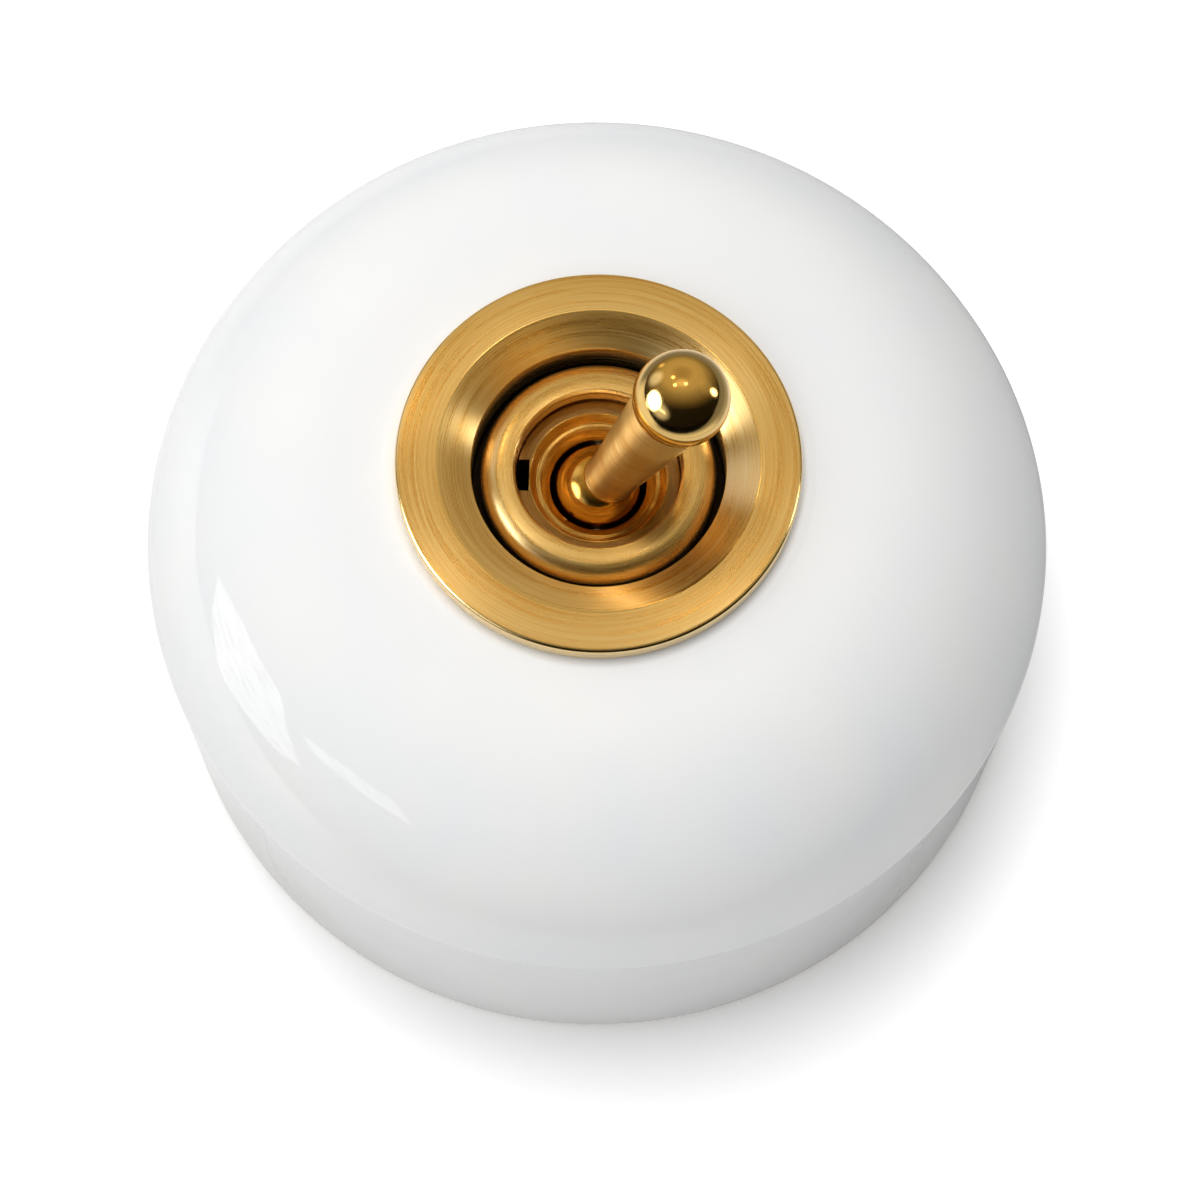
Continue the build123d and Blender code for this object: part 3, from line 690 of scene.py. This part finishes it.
def dolly():
    """One turned piece, built upright on its pivot and then leaned over."""
    tip_join = degrees(asin(-sqrt(tip_ball_r**2 - stalk_head_r**2) / tip_ball_r))
    tip = arc((0, tip_distance), (tip_ball_r, tip_ball_r), 90, tip_join, 48)
    head_z = tip[-1][1]
    foot_z = sqrt(pivot_ball_r**2 - stalk_foot_r**2)
    stalk = []
    stalk_steps = 170
    for step in range(1, stalk_steps):
        share = step / stalk_steps
        z = head_z + (foot_z + stalk_fillet - head_z) * share
        radius = stalk_head_r + (stalk_foot_r - stalk_head_r) * (head_z - z) / (head_z - foot_z)
        worn = min(1, max(0, (share - marks_start) * marks_rise))
        worn *= marks_even + marks_swell * sin(marks_beat * z)
        groove = turning_mark_depth * worn * sin(2 * pi * z / turning_mark_pitch)
        stalk.append((radius + groove, z))
    fillet = [(stalk_foot_r + out, foot_z + up) for out, up in stalk_fillet_steps]
    ball_start = degrees(asin((foot_z - ball_start_drop) / pivot_ball_r))
    tail_join = -degrees(asin(sqrt(pivot_ball_r**2 - tail_r**2) / pivot_ball_r))
    ball = arc((0, 0), (pivot_ball_r, pivot_ball_r), ball_start, tail_join, 36)
    tail = [
        (tail_r, -tail_length), (tail_bore_r, -tail_length),
        (tail_bore_r, -tail_bore_top), (0, -tail_bore_top),
    ]
    piece = turned("dolly_turned", tip + stalk + fillet + ball + tail, segments=128)
    deselect()
    bpy.ops.mesh.primitive_cylinder_add(
        vertices=48, radius=(pin_r + pin_clearance) * MM, depth=3 * pivot_ball_r * MM,
        rotation=(pi / 2, 0, 0),
    )
    cut(piece, bpy.context.object)
    piece.rotation_euler = (0, dolly_lean, 0)
    piece.location = pivot * MM
    only(piece)
    bpy.ops.object.transform_apply(location=True, rotation=True, scale=True)
    smooth(piece, 30)
    return piece


def plunger_spring():
    """Coil between the end of the tail's bore and the plunger's shoulder."""
    top = tail_bore_top + spring_end_gap + spring_wire_r
    foot = plunger_top - spring_end_gap - spring_wire_r
    deselect()
    bpy.ops.mesh.primitive_circle_add(
        vertices=12, radius=spring_wire_r * MM, rotation=(pi / 2, 0, 0),
        location=(spring_mean_r * MM, 0, 0), fill_type="NGON",
    )
    bpy.ops.object.transform_apply(location=True, rotation=True, scale=True)
    piece = bpy.context.object
    piece.name = "plunger_spring_coil"
    apply_modifier(
        piece, "SCREW", angle=2 * pi * spring_turns, screw_offset=(foot - top) * MM,
        steps=36 * spring_turns, render_steps=36 * spring_turns, use_merge_vertices=False,
        axis="Z",
    )
    piece.rotation_euler = (0, dolly_lean, 0)
    piece.location = (pivot - dolly_dir * foot) * MM
    only(piece)
    bpy.ops.object.transform_apply(location=True, rotation=True, scale=True)
    smooth(piece, 60)
    return piece


# The camera, as fitted to the photograph
camera_elevation = 70.74
camera_roll = 1.40
camera_distance = 291.5
camera_target = Vector((0.40, 1.69, 0))
focal_pixels = 3006.6
frame_pixels = 1200.0


def set_camera():
    data = bpy.data.cameras.new("camera")
    data.sensor_width = 36
    data.lens = focal_pixels * data.sensor_width / frame_pixels
    data.clip_start, data.clip_end = 0.01, 20
    camera = bpy.data.objects.new("camera", data)
    bpy.context.scene.collection.objects.link(camera)
    tilt = radians(camera_elevation)
    back = Vector((0, -cos(tilt), sin(tilt))) * camera_distance
    turn = Matrix.Rotation(pi / 2 - tilt, 4, "X") @ Matrix.Rotation(radians(camera_roll), 4, "Z")
    camera.matrix_world = Matrix.Translation((camera_target + back) * MM) @ turn
    bpy.context.scene.camera = camera


def towards(azimuth, elevation):
    """Unit vector at an azimuth anticlockwise from +X and an elevation, in degrees."""
    a, e = radians(azimuth), radians(elevation)
    return Vector((cos(a) * cos(e), sin(a) * cos(e), sin(e)))


def light_only(tree, shade, strength):
    """Glow that adds to whatever stands behind it, so that a faded rim hides nothing."""
    glow = add(tree, "Emission", {"Color": shade, "Strength": strength})
    clear = add(tree, "BsdfTransparent")
    both = add(tree, "AddShader", {0: clear.outputs[0], 1: glow.outputs[0]})
    add(tree, "OutputMaterial", {"Surface": both.outputs[0]})


def glow_material(name, shade, strength, core):
    """An emitting card, full in its core and fading to nothing at its rim."""
    material, tree = blank_material(name)
    place = add(tree, "TexCoord").outputs["Object"]
    out = add(tree, "VectorMath", {0: place}, operation="LENGTH")
    fade = add(tree, "MapRange", {
        "Value": out.outputs["Value"], "From Min": core / 2, "From Max": 0.5,
        "To Min": strength, "To Max": 0.0,
    }, interpolation_type="SMOOTHSTEP")
    light_only(tree, shade, fade.outputs["Result"])
    return material


bar_scale = (22, 22, 240)
bar_low, bar_high = 0.4, 0.52
bar_dim = 0.35


def streaked_glow(name, strength):
    """A window seen through long thin bars of foliage: bright, with level dim streaks."""
    material, tree = blank_material(name)
    place = add(tree, "TexCoord").outputs["Object"]
    level = add(tree, "Mapping", {"Vector": place, "Scale": bar_scale})
    bars = add(tree, "TexNoise", {"Vector": level.outputs[0], "Scale": 1.0, "Detail": 2.0})
    power = add(tree, "MapRange", {
        "Value": bars.outputs["Fac"], "From Min": bar_low, "From Max": bar_high,
        "To Min": strength * bar_dim, "To Max": strength,
    })
    light_only(tree, grey(1), power.outputs["Result"])
    return material


def reflected_only(thing):
    """Studio cards are seen in gloss alone, so they stay out of every view."""
    thing.visible_camera = False
    thing.visible_diffuse = False
    thing.visible_transmission = False
    thing.visible_volume_scatter = False
    thing.visible_shadow = False


softbox_distance = 0.8
card_distance = 450.0
card_centre = Vector((0, 0, 40))


def card(name, azimuth, elevation, width, height, shade, strength, core, lights):
    """A soft card at a direction from the switch, that shines on one collection alone.

    width and height are in degrees, and core is the share of it that has the full glow.
    """
    deselect()
    spot = towards(azimuth, elevation) * card_distance
    bpy.ops.mesh.primitive_plane_add(size=1, location=(spot + card_centre) * MM)
    piece = bpy.context.object
    piece.name = name
    piece.rotation_mode = "QUATERNION"
    piece.rotation_quaternion = (-spot).to_track_quat("-Z", "Y")
    spread = 2 * card_distance * MM
    piece.scale = (spread * tan(radians(width / 2)), spread * tan(radians(height / 2)), 1)
    piece.data.materials.append(glow_material(name, shade, strength, core))
    piece.light_linking.receiver_collection = lights
    reflected_only(piece)


def window(name, corners, strength):
    """A window whose outline is drawn corner by corner, as directions in degrees."""
    spots = [towards(*corner) * card_distance + card_centre for corner in corners]
    piece = draw_line(name, spots)
    bpy.ops.mesh.edge_face_add()
    bpy.ops.object.mode_set(mode="OBJECT")
    piece.data.materials.append(streaked_glow(name, strength))
    reflected_only(piece)


tent_r = 0.6
tent_glow_from = (90, 55)
tent_warmth = [
    (0.0, (0.008, 0.007, 0.006, 1)), (0.58, (0.014, 0.011, 0.007, 1)),
    (0.66, (0.08, 0.06, 0.028, 1)), (0.75, (0.21, 0.16, 0.08, 1)),
    (0.83, (0.34, 0.28, 0.15, 1)), (0.89, (0.52, 0.42, 0.23, 1)),
    (0.96, (0.58, 0.47, 0.27, 1)), (1.0, (0.42, 0.32, 0.15, 1)),
]


def tent():
    """The dim room that the brass mirrors: warm overhead and behind, black by the camera."""
    deselect()
    bpy.ops.mesh.primitive_uv_sphere_add(segments=64, ring_count=32, radius=tent_r)
    dome = bpy.context.object
    dome.name = "reflection_tent"
    material, tree = blank_material("reflection_tent")
    place = add(tree, "TexCoord").outputs["Object"]
    heading = add(tree, "VectorMath", {0: place}, operation="NORMALIZE")
    facing = add(tree, "VectorMath", {
        0: heading.outputs[0], 1: towards(*tent_glow_from),
    }, operation="DOT_PRODUCT")
    share = add(tree, "MapRange", {
        "Value": facing.outputs["Value"], "From Min": -1.0, "From Max": 1.0,
    })
    warmth = add(tree, "ValToRGB", {"Fac": share.outputs["Result"]}, stops=tent_warmth)
    glow = add(tree, "Emission", {"Color": warmth.outputs[0], "Strength": 1.0})
    add(tree, "OutputMaterial", {"Surface": glow.outputs[0]})
    dome.data.materials.append(material)
    reflected_only(dome)


def sees_background(tree):
    """1 where a camera, mirror or transmitted ray arrives, which is what shows the white."""
    path = add(tree, "LightPath")
    either = add(tree, "Math", {
        0: path.outputs["Is Camera Ray"], 1: path.outputs["Is Glossy Ray"],
    }, operation="MAXIMUM")
    any_of = add(tree, "Math", {
        0: either.outputs[0], 1: path.outputs["Is Transmission Ray"],
    }, operation="MAXIMUM")
    return any_of.outputs[0]


# Distances on the floor are metres from the switch, headings are degrees from +X, and the
# cosines are of the angle off that heading
floor_size = 8
floor_drop = 0.02 * MM
floor_gain = 1.28
floor_albedo = 0.95
table_front_edge = -0.135
table_edge_blur = 0.02
table_dark = 0.01
beside_reach = 0.045
beside_left, beside_right = 0.88, 0.45
front_heading = -95
front_cos_low, front_cos_high = 0.05, 0.5
far_heading = -172
far_cos_low, far_cos_high = 0.68, 0.92
far_dim, far_bright = 0.26, 1.05
mirror_near = 0.072
mirror_far = 0.15
backdrop_start = 0.2
backdrop_end = 0.45
sky_level = 0.44
sky_slant = 0.88


def mirrored_level(tree, place, distance):
    """How light the glaze and the brass see the paper.

    Beside the switch it falls off to the right, in front it stays light, and further off
    it is light towards the window alone. Past the table's front edge it is dark.
    """
    spot = add(tree, "SeparateXYZ", {"Vector": place})
    table = add(tree, "MapRange", {
        "Value": spot.outputs["Y"], "From Min": table_front_edge - table_edge_blur,
        "From Max": table_front_edge + table_edge_blur, "To Min": table_dark,
    }, interpolation_type="SMOOTHSTEP")
    beside = add(tree, "MapRange", {
        "Value": spot.outputs["X"], "From Min": -beside_reach, "From Max": beside_reach,
        "To Min": beside_left, "To Max": beside_right,
    })
    heading = add(tree, "VectorMath", {0: place}, operation="NORMALIZE")
    front = add(tree, "VectorMath", {
        0: heading.outputs[0], 1: towards(front_heading, 0),
    }, operation="DOT_PRODUCT")
    in_front = add(tree, "MapRange", {
        "Value": front.outputs["Value"], "From Min": front_cos_low, "From Max": front_cos_high,
    }, interpolation_type="SMOOTHSTEP")
    near = add(tree, "Mix", {
        0: in_front.outputs["Result"], 2: beside.outputs["Result"], 3: floor_albedo,
    }, data_type="FLOAT")
    facing = add(tree, "VectorMath", {
        0: heading.outputs[0], 1: towards(far_heading, 0),
    }, operation="DOT_PRODUCT")
    far = add(tree, "MapRange", {
        "Value": facing.outputs["Value"], "From Min": far_cos_low, "From Max": far_cos_high,
        "To Min": far_dim, "To Max": far_bright,
    }, interpolation_type="SMOOTHSTEP")
    away = add(tree, "MapRange", {
        "Value": distance, "From Min": mirror_near, "From Max": mirror_far,
    }, interpolation_type="SMOOTHSTEP")
    by_place = add(tree, "Mix", {
        0: away.outputs["Result"], 2: near.outputs[0], 3: far.outputs["Result"],
    }, data_type="FLOAT")
    mirrored = add(tree, "Math", {
        0: table.outputs["Result"], 1: by_place.outputs[0],
    }, operation="MULTIPLY")
    return mirrored.outputs[0]


def floor_material():
    # White paper sweep, a little over-exposed where it is seen, dimmer where it is mirrored
    material, tree = blank_material("white_sweep")
    place = add(tree, "TexCoord").outputs["Object"]
    distance = add(tree, "VectorMath", {0: place}, operation="LENGTH").outputs["Value"]
    mirrored = mirrored_level(tree, place, distance)
    path = add(tree, "LightPath")
    exposure = add(tree, "Mix", {
        0: sees_background(tree), 2: floor_albedo, 3: floor_gain,
    }, data_type="FLOAT")
    level = add(tree, "Mix", {
        0: path.outputs["Is Glossy Ray"], 2: exposure.outputs[0], 3: mirrored,
    }, data_type="FLOAT")
    shade = add(tree, "CombineColor", {
        "Red": level.outputs[0], "Green": level.outputs[0], "Blue": level.outputs[0],
    })
    paper = add(tree, "BsdfDiffuse", {"Color": shade.outputs[0]})
    # Past the lamps' reach the camera sees the sweep white, as it is near the switch
    reach = add(tree, "MapRange", {
        "Value": distance, "From Min": backdrop_start, "From Max": backdrop_end,
    }, interpolation_type="SMOOTHSTEP")
    beyond = add(tree, "Math", {
        0: reach.outputs["Result"], 1: path.outputs["Is Camera Ray"],
    }, operation="MULTIPLY")
    white = add(tree, "Emission", {"Color": grey(1), "Strength": 1.0})
    sweep = add(tree, "MixShader", {
        0: beyond.outputs[0], 1: paper.outputs[0], 2: white.outputs[0],
    })
    add(tree, "OutputMaterial", {"Surface": sweep.outputs[0]})
    return material


def sky():
    """Soft daylight that falls mostly from the left; white wherever the camera looks."""
    world = bpy.data.worlds.new("studio")
    world.use_nodes = True
    bpy.context.scene.world = world
    tree = world.node_tree
    tree.nodes.clear()
    heading = add(tree, "SeparateXYZ", {"Vector": add(tree, "TexCoord").outputs["Generated"]})
    slant = add(tree, "MapRange", {
        "Value": heading.outputs["X"], "From Min": -1.0, "From Max": 1.0,
        "To Min": sky_level * (1 + sky_slant), "To Max": sky_level * (1 - sky_slant),
    })
    level = add(tree, "Mix", {
        0: sees_background(tree), 2: slant.outputs["Result"], 3: 1.0,
    }, data_type="FLOAT")
    light = add(tree, "Background", {"Color": grey(1), "Strength": level.outputs[0]})
    add(tree, "OutputWorld", {"Surface": light.outputs[0]})


def softbox(name, azimuth, elevation, size, power):
    """A square light aimed at the switch, kept out of its own reflections."""
    data = bpy.data.lights.new(name, "AREA")
    data.shape = "SQUARE"
    data.size = size
    data.energy = power
    lamp = bpy.data.objects.new(name, data)
    bpy.context.scene.collection.objects.link(lamp)
    spot = towards(azimuth, elevation)
    lamp.location = spot * softbox_distance
    lamp.rotation_mode = "QUATERNION"
    lamp.rotation_quaternion = spot.to_track_quat("Z", "Y")
    lamp.visible_glossy = False


window_left_corners = [
    (176, 9), (-175, 17), (-167, 19), (-160, 20), (-155, 13), (-148, 6), (-153, 1),
    (-162, -3), (-170, -6), (-179, 1),
]
window_low_corners = [
    (-152, 18), (-146, 22), (-138, 24), (-131, 25), (-125, 19), (-133, 19), (-141, 18),
    (-148, 16),
]

# Name, azimuth, elevation, width, height, colour, strength and core of each card
brass_cards = [
    ("window_high", -166, 20, 42, 40, "#FFFFFF", 5.5, 0.85),
    ("window_haze", -142, 18, 58, 46, "#F2F5FF", 0.8, 0.35),
    ("back_left", 148, 22, 40, 44, "#DCE6FF", 0.8, 0.3),
    ("strip_right", 8, 14, 17, 25, "#FFF6E4", 6.0, 0.45),
    ("side_right", 14, 34, 44, 44, "#FFEFC4", 0.1, 0.3),
    ("back_low", 121, 10, 14, 16, "#FFE2A6", 0.9, 0.1),
    ("ceiling", 92, 77, 36, 28, "#FFE6C0", 0.4, 0.2),
    ("lamp_left", 150, 73, 9, 9, "#FFE9BE", 6.0, 0.3),
    ("lamp_right", 52, 76, 8, 8, "#FFE9BE", 7.0, 0.3),
    ("lamp_back", 124, 57, 8, 8, "#FFDC9C", 8.0, 0.3),
]


def studio(brass_pieces):
    """White sweep, a broad overhead light, slanting daylight, and cards for the brass."""
    deselect()
    bpy.ops.mesh.primitive_plane_add(size=floor_size, location=(0, 0, -floor_drop))
    floor = bpy.context.object
    floor.name = "floor"
    floor.data.materials.append(floor_material())
    sky()

    softbox("key_softbox", 102, 76, 0.45, 3.5)
    softbox("front_fill", -108, 50, 0.4, 0.58)

    tent()
    window("window_left", window_left_corners, 2.6)
    window("window_low", window_low_corners, 2.0)
    brass = bpy.data.collections.new("brass_pieces")
    for piece in brass_pieces:
        brass.objects.link(piece)
    for name, azimuth, elevation, width, height, tint, strength, core in brass_cards:
        card(name, azimuth, elevation, width, height, colour(tint), strength, core, brass)


# Which of its piece's finishes a face gets, by the place of its centre in millimetres


def bezel_finish(spot):
    """Burnished at the rim and at the cone's top edge, where a paler tint also paints their highlight; black deep
    in the bore, painted shade.
    """
    out = Vector(spot[:2]).length
    at_rim = abs(out - bezel_r + burnished_highlight_inset) < burnished_highlight_half_w
    if at_rim or abs(out - cone_top_r) < cone_burnished_highlight_half_w:
        return 1
    deep = spot.z < nut_top_z - gap_shade_drop
    return 2 if deep and out < bezel_bore_r + bore_slack else 0


def nut_finish(spot):
    """Black on the upright side, painted shade down in the gap beside the bezel."""
    return 1 if Vector(spot[:2]).length > nut_r - nut_side_w else 0


def bush_finish(spot):
    """Black in the keyway, painted shade with some oil and dust; darker and rougher on the flat top."""
    in_slot = abs(spot.y) < keyway_w / 2 + keyway_slack
    if in_slot and spot.x < -bush_r + keyway_depth + keyway_slack:
        return 1
    on_top = spot.z > bush_top_z - dark_top_depth
    return 2 if on_top and Vector(spot[:2]).length > bush_mouth_r + dark_top_inset else 0


def dolly_finish(spot):
    """Polished on the tip and on the pivot ball, brushed on the stalk between them."""
    along = (spot - pivot).dot(dolly_dir)
    if along > tip_distance - sqrt(tip_ball_r**2 - stalk_head_r**2):
        return 1
    return 2 if along < sqrt(pivot_ball_r**2 - stalk_foot_r**2) else 0


# Put together

porcelain = glazed_porcelain()
bezel_brass = turned_brass(
    "brushed_brass_bezel", 0.29, 0.8, run=0.8, line=0.2, depth=0.006,
    mid="#E6BA6C", light="#FBE0A4",
)
nut_brass = turned_brass(
    "turned_brass_nut", 0.28, 0.65, slope=-1.0, run=0.5, line=0.17, depth=0.004, pits=0.005,
    mid="#EABF74", light="#FBDFA2",
)
# The bush's darker tint is partly dirt, partly painted shade for its place down inside the nut
bush_brass = turned_brass(
    "turned_brass_bush", 0.2, 0.5, depth=0.0015, mid="#B58840", light="#E3BC74",
)
stalk_brass = turned_brass(
    "turned_brass_stalk", 0.36, 0.8, slope=6.0, line=0.9, run=1.2, depth=0.004,
    centre=pivot * MM, lean=dolly_lean, mid="#E2B468", light="#F4D48E",
)
tip_brass = polished_brass("polished_brass_tip", "#EDC577", 0.1)
# The pivot ball's darker tint is partly dirt, partly painted shade for its place down in the bush
seat_brass = polished_brass("polished_brass_ball", "#DDAA52", 0.16)
# A paler polished brass for burnished edges; the paler tint paints their highlight
burnished_highlight_brass = polished_brass("burnished_highlight_brass_edge", "#F7D896", 0.14)
# Darker, rougher brass for the bush's flat top, which sits down inside the nut
darker_top_brass = turned_brass(
    "darker_top_brass_bush_top", 0.4, 0.5, mid="#7E5A26", light="#A97C3C",
)
# Black brass: painted shade in the narrow gaps, and in the keyway also oil and dust
shade_and_oil_brass = painted_shade_and_oil_brass()
sheet_brass = rolled_metal("rolled_brass_sheet", "#DDB063", 0.28)
screw_brass = rolled_metal("turned_brass_screw", "#D9A856", 0.22)
zinc_steel = rolled_metal("zinc_plated_steel", "#C9CBCC", 0.3)
spring_wire = rolled_metal("drawn_spring_wire", "#8E9092", 0.25)
silver = rolled_metal("silver_contact", "#E9E7E2", 0.2)
red_fibre = rolled_metal("vulcanised_fibre", "#8E3B26", 0.55, metallic=0.0)
phenolic = rolled_metal("moulded_phenolic", "#2E1E17", 0.25, metallic=0.0)

finish_piece(porcelain_cover(), "switch_body", "glazed_porcelain", porcelain, "porcelain_cover")
bezel = bezel_ring()
finish_piece(bezel, "switch_body", "turned_brass", bezel_brass, "bezel_ring")
paint_faces(bezel, (burnished_highlight_brass, shade_and_oil_brass), bezel_finish)
nut = ring_nut()
finish_piece(nut, "switch_body", "turned_brass", nut_brass, "ring_nut")
paint_faces(nut, (shade_and_oil_brass,), nut_finish)
bush = threaded_bush()
finish_piece(bush, "switch_body", "turned_brass", bush_brass, "threaded_bush")
paint_faces(bush, (shade_and_oil_brass, darker_top_brass), bush_finish)
toggle = dolly()
finish_piece(toggle, "dolly", "polished_brass", stalk_brass, "dolly")
paint_faces(toggle, (tip_brass, seat_brass), dolly_finish)

spring = plunger_spring()
finish_piece(spring, "dolly", "spring_steel", spring_wire, "plunger_spring")
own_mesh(spring)

slot_materials = {
    "glazed_porcelain": porcelain, "turned_brass": bezel_brass, "polished_brass": seat_brass,
    "sheet_brass": sheet_brass, "screw_brass": screw_brass, "fibre": red_fibre,
    "moulded_phenolic": phenolic, "silver": silver, "screw_steel": zinc_steel,
    "spring_steel": spring_wire,
}
for part in frame["record"]["subparts"]:
    node = frame["nodes"][part["node"]]
    node.data.materials.clear()
    node.data.materials.append(slot_materials[part["material_slot"]])

set_camera()
studio((bezel, nut, bush, toggle))
bpy.context.scene.view_settings.view_transform = "Standard"
